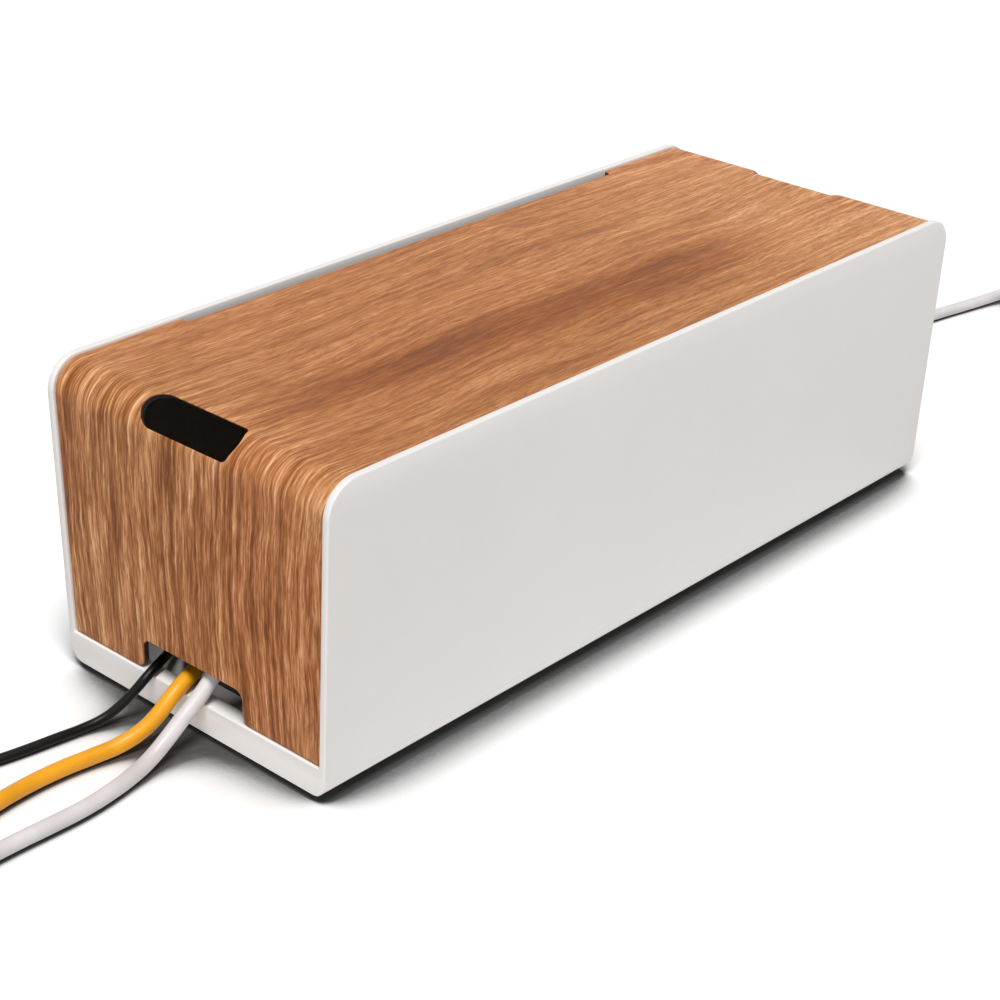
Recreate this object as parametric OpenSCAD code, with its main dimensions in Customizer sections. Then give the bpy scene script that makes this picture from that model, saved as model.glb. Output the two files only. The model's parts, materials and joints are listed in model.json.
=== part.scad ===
// Cable management box with a lift-off wood-grain lid and a power strip inside.
// The box lies along X, its open cord notches face -X and +X, and Z = 0 is the
// surface that it stands on. Millimetres.

/* [Box] */
// Length of the box over its side walls
box_length = 400; // [392:1:480]
// Width of the box over its side walls, at their top
box_width = 158; // [140:1:200]
// Height of the side walls above the underside
box_height = 133.5; // [118:0.5:170]
// Angle by which the side walls lean outward
wall_lean = 1.85; // [0:0.05:3]
// Thickness of the side walls
side_wall = 3.3; // [2.4:0.1:5]
// Thickness of the floor
floor_wall = 3; // [2:0.1:4]
// Thickness of the low end walls
end_wall = 2.6; // [2:0.1:4]
// Radius of the side walls' top corners
corner_radius = 14; // [8:0.5:24]
// Radius of the side walls' bottom corners
heel_radius = 3; // [1:0.5:6]
// Radius of the rounding along the bottom's long edges
bottom_radius = 10; // [6:0.5:16]
// Height of the end walls' top above the underside
ledge_height = 14.7; // [13:0.1:18]
// Depth of the ledge on each end wall, with the wall itself
ledge_depth = 7.4; // [5:0.1:9]
// Thickness of the ledge
ledge_wall = 2.4; // [1.6:0.1:4]
// Ribs under each ledge
ledge_ribs = 5; // [3:1:9]
// Thickness of a rib under the ledge
ledge_rib_wall = 1.6; // [1:0.1:2.5]

/* [Lid] */
// Thickness of the lid
lid_wall = 3; // [2:0.1:4]
// How far the lid lies inside the outline of the side walls
lid_drop = 1; // [0.5:0.1:2]
// Clearance between the lid and each side wall
lid_side_gap = 0.4; // [0.3:0.05:1]
// Clearance between the lid's ends and the ledges
lid_seat_gap = 0.3; // [0.3:0.05:1]
// Depth of the stiffening flange along the lid's long edges, from its inner face
flange_depth = 6; // [3:0.5:9]
// Thickness of that flange
flange_wall = 1.8; // [1.2:0.1:3]

/* [Lid openings] */
// Length of the finger slot across each end's top corner
slot_length = 53; // [36:1:70]
// Width of the finger slot
slot_width = 14.6; // [12:0.1:18]
// Corner radius of the finger slot at the cut-out side of the lid
slot_far_radius = 7; // [3:0.5:7]
// Corner radius of the finger slot at the other side
slot_near_radius = 2.5; // [1:0.5:6]
// Direction in which the finger slot faces, above the horizontal
slot_angle = 53; // [35:1:60]
// Width of the cord notch in each end
notch_width = 58; // [40:1:80]
// Height of the cord notch above the lid's lower edge
notch_height = 13.6; // [10:0.1:20]
// Radius of the notch's upper corners
notch_radius = 4; // [2:0.5:6]
// Radius with which the notch flares out at the lid's lower edge
notch_flare = 4; // [2:0.5:6]
// Length of the shallow cut-out in the lid's back edge
cutout_length = 269; // [160:1:300]
// Depth of that cut-out
cutout_depth = 4.2; // [2:0.1:8]
// Radius of the cut-out's inner corners
cutout_radius = 3; // [1:0.5:4]

/* [Feet] */
// Diameter of a rubber foot
foot_diameter = 18; // [12:0.5:24]
// Thickness of a rubber foot
foot_thickness = 3; // [2:0.1:5]
// Depth of the recess that holds a foot
foot_recess = 1.5; // [0.5:0.1:1.8]
// Distance from the box's end to a foot's middle
foot_inset_x = 30; // [20:1:50]
// Distance from the box's side to a foot's middle
foot_inset_y = 26; // [24:1:40]

/* [Power strip] */
// Distance from the box's device end to the strip
strip_offset = 26; // [24:0.5:27]
// Length of the strip
strip_length = 320; // [316:1:322]
// Width of the strip
strip_width = 56; // [52:0.5:60]
// Height of the strip
strip_height = 44; // [42:0.5:50]
// Wall of the strip's housing
strip_wall = 2.2; // [1.6:0.1:2.8]
// Radius of the strip's corners, seen from above
strip_radius = 9; // [4:0.5:12]
// Height of the lower shell, where the housing parts
strip_split = 16.5; // [15:0.5:18]
// Height of the locating lip at the housing's parting line
lip_height = 1.5; // [1:0.1:2.5]
// Diameter of the posts for the housing's screws
post_diameter = 7; // [6:0.5:8]
// Shank diameter of the housing's screws
screw_diameter = 3; // [2.5:0.1:3.5]
// Head diameter of the housing's screws
screw_head = 5.6; // [5:0.1:6.4]

/* [Sockets] */
// Distance between neighbouring sockets
socket_pitch = 46; // [45.5:0.5:48]
// Distance from the strip's end to the first socket
socket_margin = 30; // [28:0.5:32]
// Bore of a socket
socket_bore = 39; // [38.5:0.1:39.5]
// Depth of a socket
socket_depth = 17.5; // [16.5:0.1:19]
// Wall of a socket insert
socket_wall = 2; // [1.5:0.1:2]
// Rim by which a socket insert seats under the cover
socket_rim = 1; // [0.6:0.1:1.1]
// Turn of the sockets about their own axes
socket_turn = 45; // [30:5:60]
// Distance between the two pins
pin_spacing = 19; // [18:0.1:20]
// Diameter of a pin
pin_diameter = 4.8; // [4:0.1:5]
// Length of a pin
pin_length = 19; // [17:0.1:20]
// Clearance round a pin in the socket's floor
pin_gap = 0.3; // [0.2:0.05:0.5]
// Thickness of the brass bars and clips
brass_wall = 0.8; // [0.5:0.1:1]
// Width of an earth clip
clip_width = 5; // [4:0.5:6]

/* [Switch] */
// Length of the rocker
rocker_length = 19.2; // [17:0.2:22]
// Width of the rocker
rocker_width = 14; // [11:0.5:16]
// Angle that the rocker turns through
rocker_throw = 18; // [12:1:22]
// Wall of the switch frame
switch_wall = 1.6; // [1:0.1:2]
// Clearance round the rocker
rocker_gap = 0.5; // [0.4:0.05:0.8]
// Diameter of the rocker's pivot
pivot_diameter = 2.4; // [2:0.1:3]

/* [Plugs] */
// Diameter of a plug's front part
plug_diameter = 37; // [36:0.1:37.6]
// Diameter of a plug's grip
grip_diameter = 39; // [37:0.5:41]
// Height of a plug's grip above the strip
grip_height = 31; // [28:0.5:36]
// Height of a plug's cord above the strip
plug_cord_height = 16.5; // [14:0.5:18]
// Length of the mains adaptor along the strip
adaptor_length = 38; // [32:1:42]
// Width of the mains adaptor across the strip
adaptor_width = 52; // [44:1:56]
// Height of the mains adaptor above the strip
adaptor_height = 34; // [28:1:40]

/* [Cords] */
// Diameter of the black cord
black_diameter = 4; // [3.5:0.1:4]
// Diameter of the yellow cord
yellow_diameter = 6.5; // [6:0.1:6.5]
// Diameter of the white cord
white_diameter = 6.5; // [6:0.1:6.5]
// Diameter of the mains lead
mains_diameter = 6; // [5.5:0.1:6]
// Length of the mains lead's strain relief
relief_length = 30; // [24:1:32]

/* [Hidden] */
$fn = 64;
overlap = 1;

// Levels, from the surface that the box stands on
underside = foot_thickness - foot_recess;
floor_top = underside + floor_wall;
ledge_top = underside + ledge_height;
rim_top = underside + box_height;
lid_bottom = ledge_top + lid_seat_gap;
lid_top = rim_top - lid_drop;
strip_top = floor_top + strip_height;
cup_floor = strip_top - socket_depth;

// Widths at the rim's level: between the side walls, and of the lid
inner_width = box_width - 2 * side_wall / cos(wall_lean);
lid_width = inner_width - 2 * lid_side_gap;
lid_length = box_length - 2 * lid_drop;
lid_radius = corner_radius - lid_drop;

// A width at another level, where it is `width` at the rim's level
function width_at(width, level) = width - 2 * (rim_top - level) * tan(wall_lean);

// Places along the strip
strip_start = strip_offset - box_length / 2;
strip_end = strip_start + strip_length;
strip_middle = strip_start + strip_length / 2;
socket_count = 5;
function socket_x(i) = strip_start + socket_margin + i * socket_pitch;
white_socket = 2;
yellow_socket = 3;
adaptor_socket = 4;
post_columns = [0.5, 3.5];
post_sink = 0.8;
post_y = strip_width / 2 - strip_wall - post_diameter / 2 + post_sink;

// Socket parts
insert_diameter = socket_bore + 2 * socket_wall;
last_socket_edge = socket_x(socket_count - 1) + insert_diameter / 2 + socket_rim;
switch_x = (last_socket_edge + strip_end - strip_wall) / 2;
insert_gap = 0.2;
socket_floor = 2;
clip_radius = socket_bore / 2 - 1.6;
clip_height = 11;
earth_level = cup_floor - socket_floor;
groove_depth = 2.6;

// Plug parts
seat_gap = 0.1;
boss_diameter = 15;
boss_reach = 24;
relief_reach = 44;
yellow_boss_turn = 135;
white_boss_turn = 205;
adaptor_outlet_x = -10;
adaptor_outlet_rise = 11.5;
adaptor_outlet_length = 12;
straight_plug_relief = 22;
straight_plug_cone = 14;
straight_plug_body = 22;
connector_relief = 20;

// Coils: middle of the ring, radius to the middle of the turns, turns across and up
black_ring = [-285, 94];
black_ring_radius = 22;
black_turns = [3, 2];
yellow_ring = [-350, 43];
yellow_ring_radius = 35;
yellow_turns = [2, 2];
white_ring = [-410, -55];
white_ring_radius = 35;
white_turns = [2, 2];
mains_ring = [452, -29];
mains_ring_radius = 35;
mains_turns = [3, 2];

// Routes of the cords, from the plug or strain relief to the coil
black_route = [
    [30, 38, 60], [30, 43, 60], [27.5, 49, 58.5], [20.5, 53, 53.5], [10, 54.8, 43.5],
    [-2, 54.8, 31.5], [-14, 54.6, 20.5], [-28, 54.2, 11.5], [-46, 54, 7.4], [-66, 54, 6.6],
    [-88, 54, 6.6], [-110, 54.2, 6.6], [-130, 54, 6.6], [-147, 52, 6.8], [-160, 47.6, 8.2],
    [-171, 41.6, 11.2], [-180.5, 34.6, 15], [-188.5, 28.2, 18], [-196, 23.7, 19.5],
    [-203, 22.1, 17.7], [-209, 23.1, 13], [-214.8, 25.3, 7.8], [-221, 27.8, 3.8], [-229, 30, 2.05],
    [-242, 31.9, 2.05], [-256, 33.9, 2.05], [-268.5, 36.5, 2.05], [-280.5, 40.6, 2.05],
    [-291.5, 47.2, 2.05], [-301, 56.8, 2.05], [-307.6, 68.4, 2.05], [-310.9, 82, 2.05]
];
yellow_route = [
    [-37.1, 31.1, 65], [-43.5, 37.5, 65], [-53, 43.6, 63], [-65, 46.4, 57], [-77, 47.2, 48],
    [-89, 47.2, 37.5], [-101, 47, 27], [-114, 46.8, 17.5], [-129, 46.4, 10.5], [-144, 45, 8.3],
    [-157, 41.8, 9], [-167.4, 36.4, 11], [-174.6, 29.2, 13.4], [-178.9, 21.6, 16],
    [-182.9, 14.9, 18.3], [-188, 9.8, 20.1], [-194, 6.5, 21], [-200.4, 4.5, 20.3],
    [-206.8, 3.5, 17.6], [-213.2, 3.6, 12.9], [-220.4, 5.3, 7.8], [-229.4, 8, 4.2],
    [-240.5, 10.2, 3.3], [-255, 12, 3.3], [-270, 12.3, 3.3], [-286, 11, 3.3], [-303, 8.4, 3.3],
    [-319, 6.2, 3.3], [-333, 5.1, 3.3]
];
white_route = [
    [-91.9, -18.6, 65], [-101, -22.6, 64.4], [-110.5, -25, 62], [-120.5, -25.8, 58.1],
    [-131, -25.2, 54.4], [-141, -23.9, 52.2], [-150.5, -21.6, 51.9], [-159.5, -17.8, 53],
    [-167.4, -13.6, 54], [-173.4, -10.8, 53.1], [-178.5, -8.8, 50.3], [-182.4, -7.7, 45.7],
    [-185.8, -7.2, 39.4], [-189.2, -7, 33], [-192.8, -7, 27.8], [-197, -7.1, 23.7],
    [-202.8, -7.2, 19.3], [-210, -7.4, 14.9], [-218.8, -7.5, 8.9], [-228, -8.4, 4.6],
    [-239, -10.8, 3.3], [-251, -13.2, 3.3], [-264, -14.6, 3.3], [-278, -14.5, 3.3],
    [-293, -13.9, 3.3], [-309, -13.8, 3.3], [-326, -14.4, 3.3], [-347, -15.7, 3.3],
    [-370, -16.6, 3.3], [-393, -16.8, 3.3]
];
mains_route = [
    [176, 0, 21], [186, 0, 21], [195.5, 0.4, 20.9], [204.2, 1.2, 19], [212, 2.3, 15],
    [219.5, 3.5, 10.2], [228, 5.1, 6], [238.5, 7.4, 3.6], [252, 10.8, 3], [272, 15.8, 3],
    [297, 21.4, 3], [325, 26, 3], [352, 28, 3], [372, 27.2, 3], [388, 24.6, 3], [404, 21.4, 3],
    [420, 18.4, 3], [433, 16.2, 3], [444.5, 14.3, 3]
];
cord_sides = 8;

// A rectangle with round corners, centred on the origin
module round_rect(length, width, radius) {
    square([length - 2 * radius, width], center = true);
    square([length, width - 2 * radius], center = true);
    for (x = [-1, 1], y = [-1, 1])
        translate([x * (length / 2 - radius), y * (width / 2 - radius)]) circle(radius);
}

// An upright outline that stands on Y = 0, with its own radius at top and bottom
module wall_outline(length, height, top_radius, low_radius) {
    translate([-length / 2, low_radius]) square([length, height - low_radius - top_radius]);
    translate([top_radius - length / 2, height / 2])
        square([length - 2 * top_radius, height / 2]);
    translate([low_radius - length / 2, 0]) square([length - 2 * low_radius, height / 2]);
    for (side = [-1, 1]) {
        translate([side * (length / 2 - top_radius), height - top_radius]) circle(top_radius);
        translate([side * (length / 2 - low_radius), low_radius]) circle(low_radius);
    }
}

// An outline with round top corners and a straight foot
module arch_outline(length, height, top_radius) {
    translate([-length / 2, 0]) square([length, height - top_radius]);
    translate([top_radius - length / 2, 0]) square([length - 2 * top_radius, height]);
    for (side = [-1, 1])
        translate([side * (length / 2 - top_radius), height - top_radius]) circle(top_radius);
}

// A channel's outline: sides that lean outward, round bottom corners and a straight top
module trough_outline(width, height, low_radius) {
    middle = width / 2 - (height - low_radius) * tan(wall_lean) - low_radius / cos(wall_lean);
    touch_y = middle + low_radius * cos(wall_lean);
    touch_z = low_radius * (1 - sin(wall_lean));
    polygon([[-middle, 0], [middle, 0], [touch_y, touch_z], [width / 2, height],
             [-width / 2, height], [-touch_y, touch_z]]);
    for (side = [-1, 1]) translate([side * middle, low_radius]) circle(low_radius);
}

// Stands an outline in the XZ plane up, with its thickness along Y
module along_y(thickness) {
    rotate([90, 0, 0]) linear_extrude(thickness, center = true) children();
}

// Stands an outline in the YZ plane up, with its thickness along X
module along_x(thickness) {
    rotate([90, 0, 90]) linear_extrude(thickness, center = true) children();
}

// The room between two leaning sides, `width` apart at the rim's level
module leaning_room(width, low, high) {
    low_y = width_at(width, low) / 2;
    high_y = width_at(width, high) / 2;
    along_x(box_length + 2 * overlap)
        polygon([[-low_y, low], [low_y, low], [high_y, high], [-high_y, high]]);
}

foot_x = box_length / 2 - foot_inset_x;
foot_y = width_at(box_width, underside) / 2 - foot_inset_y;
module at_feet() {
    for (x = [-1, 1], y = [-1, 1]) translate([x * foot_x, y * foot_y, 0]) children();
}

module base_shell() {
    color("white") difference() {
        union() {
            difference() {
                intersection() {
                    translate([0, 0, underside])
                        along_y(box_width)
                            wall_outline(box_length, box_height, corner_radius, heel_radius);
                    translate([0, 0, underside])
                        along_x(box_length)
                            trough_outline(box_width, box_height, bottom_radius);
                }
                translate([0, 0, floor_top])
                    along_x(box_length - 2 * end_wall)
                        trough_outline(width_at(inner_width, rim_top + overlap),
                                       rim_top + overlap - floor_top, bottom_radius - side_wall);
                leaning_room(inner_width, ledge_top, rim_top + overlap);
            }
            for (side = [-1, 1]) ledge(side);
        }
        at_feet() cylinder(h = foot_thickness, d = foot_diameter);
    }
}

// The shelf on top of an end wall that carries the lid, with the ribs under it
module ledge(side) {
    reach = ledge_depth - end_wall;
    width = width_at(inner_width, ledge_top);
    rib_pitch = (width - 2 * bottom_radius) / (ledge_ribs - 1);
    translate([side * (box_length / 2 - end_wall - reach / 2), 0, 0]) {
        translate([-reach / 2 - 0.2, -width / 2 - overlap, ledge_top - ledge_wall])
            cube([reach + 0.4, width + 2 * overlap, ledge_wall]);
        for (i = [0 : ledge_ribs - 1])
            translate([-reach / 2, bottom_radius - width / 2 + i * rib_pitch - ledge_rib_wall / 2,
                       underside + overlap])
                cube([reach, ledge_rib_wall, ledge_height - overlap - ledge_wall / 2]);
    }
}

module foot(index) {
    x = index % 2 == 0 ? -1 : 1;
    y = index < 2 ? -1 : 1;
    color("dimgray") translate([x * foot_x, y * foot_y, 0])
        cylinder(h = foot_thickness, d = foot_diameter);
}

module foot_1() { foot(0); }
module foot_2() { foot(1); }
module foot_3() { foot(2); }
module foot_4() { foot(3); }

// The lid: one sheet bent down at both ends, with a flange along its long edges
module lid() {
    height = lid_top - lid_bottom;
    color("peru") difference() {
        intersection() {
            union() {
                translate([0, 0, lid_bottom]) difference() {
                    along_y(box_width) arch_outline(lid_length, height, lid_radius);
                    translate([0, 0, -overlap])
                        along_y(box_width + overlap)
                            arch_outline(lid_length - 2 * lid_wall, height - lid_wall + overlap,
                                         lid_radius - lid_wall);
                }
                flange(height);
            }
            leaning_room(lid_width, lid_bottom - overlap, rim_top);
        }
        for (side = [-1, 1]) {
            cord_notch(side);
            finger_slot(side);
        }
        back_cutout();
    }
}

// The flange under the lid's long edges, with room between its two sides
module flange(height) {
    inner_radius = lid_radius - lid_wall;
    difference() {
        translate([0, 0, lid_bottom]) along_y(box_width) difference() {
            arch_outline(lid_length - lid_wall, height - lid_wall / 2, lid_radius - lid_wall / 2);
            translate([0, -overlap])
                arch_outline(lid_length - 2 * (lid_wall + flange_depth),
                             height - lid_wall - flange_depth + overlap,
                             max(inner_radius - flange_depth, 1));
        }
        leaning_room(lid_width - 2 * flange_wall, lid_bottom - overlap, rim_top);
    }
}

// The notch under which the cords leave
module cord_notch(side) {
    depth = 2 * (lid_wall + flange_depth);
    translate([side * lid_length / 2, 0, lid_bottom]) along_x(depth) {
        translate([0, (notch_height - notch_radius) / 2])
            square([notch_width, notch_height - notch_radius], center = true);
        translate([0, notch_height / 2])
            square([notch_width - 2 * notch_radius, notch_height], center = true);
        for (y = [-1, 1])
            translate([y * (notch_width / 2 - notch_radius), notch_height - notch_radius])
                circle(notch_radius);
        translate([-notch_width / 2, -overlap]) square([notch_width, 2 * overlap]);
        for (y = [0, 1]) mirror([y, 0]) difference() {
            translate([notch_width / 2 - 0.1, -overlap])
                square([notch_flare + 0.1, notch_flare + overlap]);
            translate([notch_width / 2 + notch_flare, notch_flare]) circle(notch_flare);
        }
    }
}

// The finger slot's outline, with rounder corners at its +Y end
module slot_outline() {
    far = min(slot_far_radius, slot_width / 2 - 0.1);
    near = min(slot_near_radius, slot_width / 2 - 0.1);
    translate([-slot_width / 2, near - slot_length / 2])
        square([slot_width, slot_length - near - far]);
    translate([far - slot_width / 2, 0]) square([slot_width - 2 * far, slot_length / 2]);
    translate([near - slot_width / 2, -slot_length / 2])
        square([slot_width - 2 * near, slot_length / 2]);
    for (side = [-1, 1]) {
        translate([side * (slot_width / 2 - far), slot_length / 2 - far]) circle(far);
        translate([side * (slot_width / 2 - near), near - slot_length / 2]) circle(near);
    }
}

// The slot that fingers lift the lid by, cut square to the corner's slope
module finger_slot(side) {
    turn = side * (90 - slot_angle);
    translate([side * (lid_length / 2 - lid_radius), 0, lid_top - lid_radius])
        rotate([0, turn, 0])
            translate([0, 0, lid_radius - 2 * lid_wall])
                linear_extrude(4 * lid_wall) slot_outline();
}

// The shallow cut-out in the lid's back edge
module back_cutout() {
    translate([0, lid_width / 2, lid_top - lid_wall - flange_depth - overlap])
        linear_extrude(lid_wall + flange_depth + 2 * overlap)
            round_rect(cutout_length, 2 * cutout_depth, min(cutout_radius, cutout_depth - 0.1));
}

// A block with round corners, seen from above
module round_block(length, width, height, radius) {
    linear_extrude(height) round_rect(length, width, radius);
}

module at_posts() {
    for (column = post_columns, y = [-1, 1])
        translate([socket_x(column), y * post_y, 0]) children();
}

// The bore at the parting line that the strain relief's neck sits in
relief_level = floor_top + strip_split;
relief_neck = 11;
relief_collar = 15;
relief_inner = 2.4;
neck_gap = 0.1;
module relief_bore() {
    translate([strip_end - strip_wall - overlap, 0, relief_level])
        rotate([0, 90, 0]) cylinder(h = strip_wall + 2 * overlap, d = relief_neck + 2 * neck_gap);
}

// The locating lip along the housing's parting line, or the step that it fits in
lip_gap = 0.15;
module parting_lip(grow) {
    level = floor_top + strip_split;
    rise = lip_height + grow;
    inset = strip_wall / 2 + lip_gap - grow;
    translate([strip_middle, 0, level - overlap]) difference() {
        round_block(strip_length - 2 * inset, strip_width - 2 * inset, rise + overlap,
                    strip_radius - inset);
        translate([0, 0, -overlap])
            round_block(strip_length - 2 * strip_wall, strip_width - 2 * strip_wall,
                        rise + 3 * overlap, strip_radius - strip_wall);
    }
}

module strip_base() {
    screw_seat = 3;
    color("dimgray") difference() {
        union() {
            translate([strip_middle, 0, floor_top]) difference() {
                round_block(strip_length, strip_width, strip_split, strip_radius);
                translate([0, 0, strip_wall])
                    round_block(strip_length - 2 * strip_wall, strip_width - 2 * strip_wall,
                                strip_split, strip_radius - strip_wall);
            }
            parting_lip(0);
            at_posts() translate([0, 0, floor_top]) cylinder(h = strip_split, d = post_diameter);
        }
        at_posts() {
            translate([0, 0, floor_top - overlap]) cylinder(h = screw_seat + overlap, d = screw_head);
            translate([0, 0, floor_top])
                cylinder(h = strip_split + overlap, d = screw_diameter + 0.4);
        }
        relief_bore();
    }
}

module strip_cover() {
    upper = strip_height - strip_split;
    color("dimgray") difference() {
        union() {
            translate([strip_middle, 0, floor_top + strip_split]) difference() {
                round_block(strip_length, strip_width, upper, strip_radius);
                translate([0, 0, -overlap])
                    round_block(strip_length - 2 * strip_wall, strip_width - 2 * strip_wall,
                                upper - strip_wall + overlap, strip_radius - strip_wall);
            }
            at_posts() translate([0, 0, floor_top + strip_split])
                cylinder(h = upper - strip_wall / 2, d = post_diameter);
        }
        parting_lip(lip_gap);
        at_posts() translate([0, 0, floor_top]) cylinder(h = strip_split + 12, d = screw_diameter);
        for (i = [0 : socket_count - 1])
            translate([socket_x(i), 0, strip_top - strip_wall - overlap])
                cylinder(h = strip_wall + 2 * overlap, d = insert_diameter + 2 * insert_gap);
        translate([switch_x, 0, strip_top - strip_wall - overlap])
            linear_extrude(strip_wall + 2 * overlap)
                square([frame_length + 2 * insert_gap, frame_width + 2 * insert_gap], center = true);
        relief_bore();
    }
}

// A round recessed socket, open above, with two pin holes and two clip slots
module socket_insert(index) {
    clip_slot = brass_wall + 0.6;
    color("black") translate([socket_x(index), 0, 0]) difference() {
        union() {
            translate([0, 0, cup_floor - socket_floor])
                cylinder(h = socket_depth + socket_floor, d = insert_diameter);
            translate([0, 0, strip_top - strip_wall - 1.2])
                cylinder(h = 1.2, d = insert_diameter + 2 * socket_rim);
        }
        translate([0, 0, cup_floor]) cylinder(h = socket_depth + overlap, d = socket_bore);
        rotate(socket_turn) {
            for (side = [-1, 1]) {
                translate([side * pin_spacing / 2, 0, cup_floor - socket_floor - overlap])
                    cylinder(h = socket_floor + 2 * overlap, d = pin_diameter + 2 * pin_gap);
                translate([0, side * (clip_radius - brass_wall / 2),
                           cup_floor - socket_floor / 2])
                    cube([clip_width + 0.6, clip_slot, socket_floor + 2 * overlap], center = true);
            }
        }
    }
}

module socket_1() { socket_insert(0); }
module socket_2() { socket_insert(1); }
module socket_3() { socket_insert(2); }
module socket_4() { socket_insert(3); }
module socket_5() { socket_insert(4); }

// One U-shaped earth contact for each socket, under its floor and up through it
module earth_clips() {
    rise = socket_floor + clip_height;
    color("goldenrod") for (i = [0 : socket_count - 1])
        translate([socket_x(i), 0, earth_level - brass_wall]) rotate(socket_turn) {
            translate([-clip_width / 2, -clip_radius, 0])
                cube([clip_width, 2 * clip_radius, brass_wall]);
            for (side = [0, 1]) mirror([0, side, 0])
                translate([-clip_width / 2, clip_radius - brass_wall, 0])
                    cube([clip_width, brass_wall, rise + brass_wall]);
        }
}

bar_start = socket_x(0) - 14;
bar_length = (socket_count - 1) * socket_pitch + 28;
pin_offset = pin_spacing / 2 * sin(socket_turn);
bar_height = 7;
bar_level = cup_floor - pin_length + 3;

// The bar that joins the earth contacts, flat under them
module earth_bar() {
    bar_width = 5;
    color("goldenrod") translate([bar_start, -bar_width / 2, earth_level - 2 * brass_wall])
        cube([bar_length, bar_width, brass_wall]);
}

// A bar on edge beside one row of pins
module side_bar(side) {
    color("goldenrod")
        translate([bar_start, side * (pin_offset + pin_diameter / 2 + brass_wall / 2) - brass_wall / 2,
                   bar_level])
            cube([bar_length, brass_wall, bar_height]);
}

module live_bar() { side_bar(1); }
module neutral_bar() { side_bar(-1); }

module strip_screws() {
    head_height = 2.4;
    thread = strip_split + 8;
    color("silver") at_posts() translate([0, 0, floor_top + 3 - head_height]) {
        cylinder(h = head_height, d = screw_head - 0.4);
        cylinder(h = thread, d = screw_diameter);
    }
}

// The switch: its frame sits in the cover, and the rocker turns on its pivot in it
frame_opening_length = rocker_length + 2 * rocker_gap + 1.4;
frame_opening_width = rocker_width + 2 * rocker_gap;
frame_length = frame_opening_length + 2 * switch_wall;
frame_width = frame_opening_width + 2 * switch_wall;
frame_depth = 12.5;
frame_flange = 1.3;
pivot_level = strip_top - 2.5;
pivot_gap = 0.3;
tab_size = [4.8, 0.8, 7];
tab_offset = 6;
tab_foot = strip_top - frame_depth - tab_size[2];

module switch_frame() {
    color("black") difference() {
        union() {
            translate([switch_x, 0, strip_top - frame_depth])
                linear_extrude(frame_depth + frame_flange / 2)
                    square([frame_length, frame_width], center = true);
            translate([switch_x, 0, strip_top])
                round_block(frame_length + 3, frame_width + 3, frame_flange, 1.5);
        }
        translate([switch_x, 0, strip_top - frame_depth + switch_wall])
            linear_extrude(frame_depth + frame_flange)
                square([frame_opening_length, frame_opening_width], center = true);
        translate([switch_x, 0, pivot_level]) rotate([90, 0, 0])
            cylinder(h = frame_width - switch_wall, d = pivot_diameter + 2 * pivot_gap,
                     center = true);
    }
}

// The rocker, built with its cord side pressed down
module switch_rocker() {
    half = rocker_length / 2;
    color("firebrick") translate([switch_x, 0, pivot_level]) rotate([0, rocker_throw / 2, 0]) {
        along_y(rocker_width)
            polygon([[-half, 5.6], [-half + 1, 6], [-2.4, 4.3], [2.4, 4.3], [half - 1, 6],
                     [half, 5.6], [half - 2, -2.5], [half - 6, -5], [6 - half, -5],
                     [2 - half, -2.5]]);
        rotate([90, 0, 0])
            cylinder(h = rocker_width + switch_wall / 2, d = pivot_diameter, center = true);
    }
}

// The two blades under the switch that its wires are soldered to
module switch_tabs() {
    color("goldenrod") for (side = [-1, 1])
        translate([switch_x + side * tab_offset, 0, tab_foot + tab_size[2] / 2])
            cube(tab_size, center = true);
}

// The mains lead's strain relief, held in the wall by a groove round its neck
sheath_bore = 4;
module mains_relief() {
    bore = mains_diameter;
    cuffs = 4;
    step = (relief_length - 4) / cuffs;
    color("white") translate([strip_end - strip_wall, 0, relief_level]) rotate([0, 90, 0])
        difference() {
            union() {
                translate([0, 0, -relief_inner]) cylinder(h = relief_inner, d = relief_collar);
                cylinder(h = strip_wall, d = relief_neck);
                translate([0, 0, strip_wall]) cylinder(h = 3, d = relief_collar);
                translate([0, 0, strip_wall])
                    cylinder(h = relief_length, d1 = relief_neck, d2 = bore + 2);
                for (i = [1 : cuffs - 1])
                    translate([0, 0, strip_wall + 3 + i * step])
                        cylinder(h = step / 2, d = relief_collar - 1.6 * i);
            }
            translate([0, 0, -relief_inner - overlap]) cylinder(h = sheath_bore, d = bore);
        }
}

// An angled two-pin plug with earth grooves, its cord leaving at the side
module angled_plug(index, turn) {
    plug_face = cup_floor + seat_gap;
    grip_start = strip_top + 0.6;
    translate([socket_x(index), 0, 0]) {
        difference() {
            union() {
                translate([0, 0, plug_face])
                    cylinder(h = grip_start - plug_face + overlap, d = plug_diameter);
                translate([0, 0, grip_start]) cylinder(h = grip_height * 0.55, d = grip_diameter);
                translate([0, 0, grip_start + grip_height * 0.55])
                    cylinder(h = grip_height * 0.45, d1 = grip_diameter, d2 = grip_diameter - 9);
            }
            rotate(socket_turn) for (side = [-1, 1])
                translate([0, side * plug_diameter / 2, plug_face + (grip_start - plug_face) / 2])
                    cube([clip_width + 2, 2 * groove_depth, grip_start - plug_face + 0.02],
                         center = true);
        }
        translate([0, 0, strip_top + plug_cord_height]) rotate([0, 90, turn]) {
            cylinder(h = boss_reach, d = boss_diameter);
            translate([0, 0, boss_reach - 0.01])
                cylinder(h = relief_reach - boss_reach + 0.01, d1 = boss_diameter - 2.5, d2 = 8.5);
        }
    }
}

// A socket's two pins, with round tips
module pins(index) {
    color("silver") translate([socket_x(index), 0, cup_floor + seat_gap]) rotate(socket_turn)
        for (side = [-1, 1]) translate([side * pin_spacing / 2, 0, 0]) mirror([0, 0, 1]) {
            cylinder(h = pin_length - pin_diameter / 2, d = pin_diameter);
            translate([0, 0, pin_length - pin_diameter / 2]) sphere(d = pin_diameter);
        }
}

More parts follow.
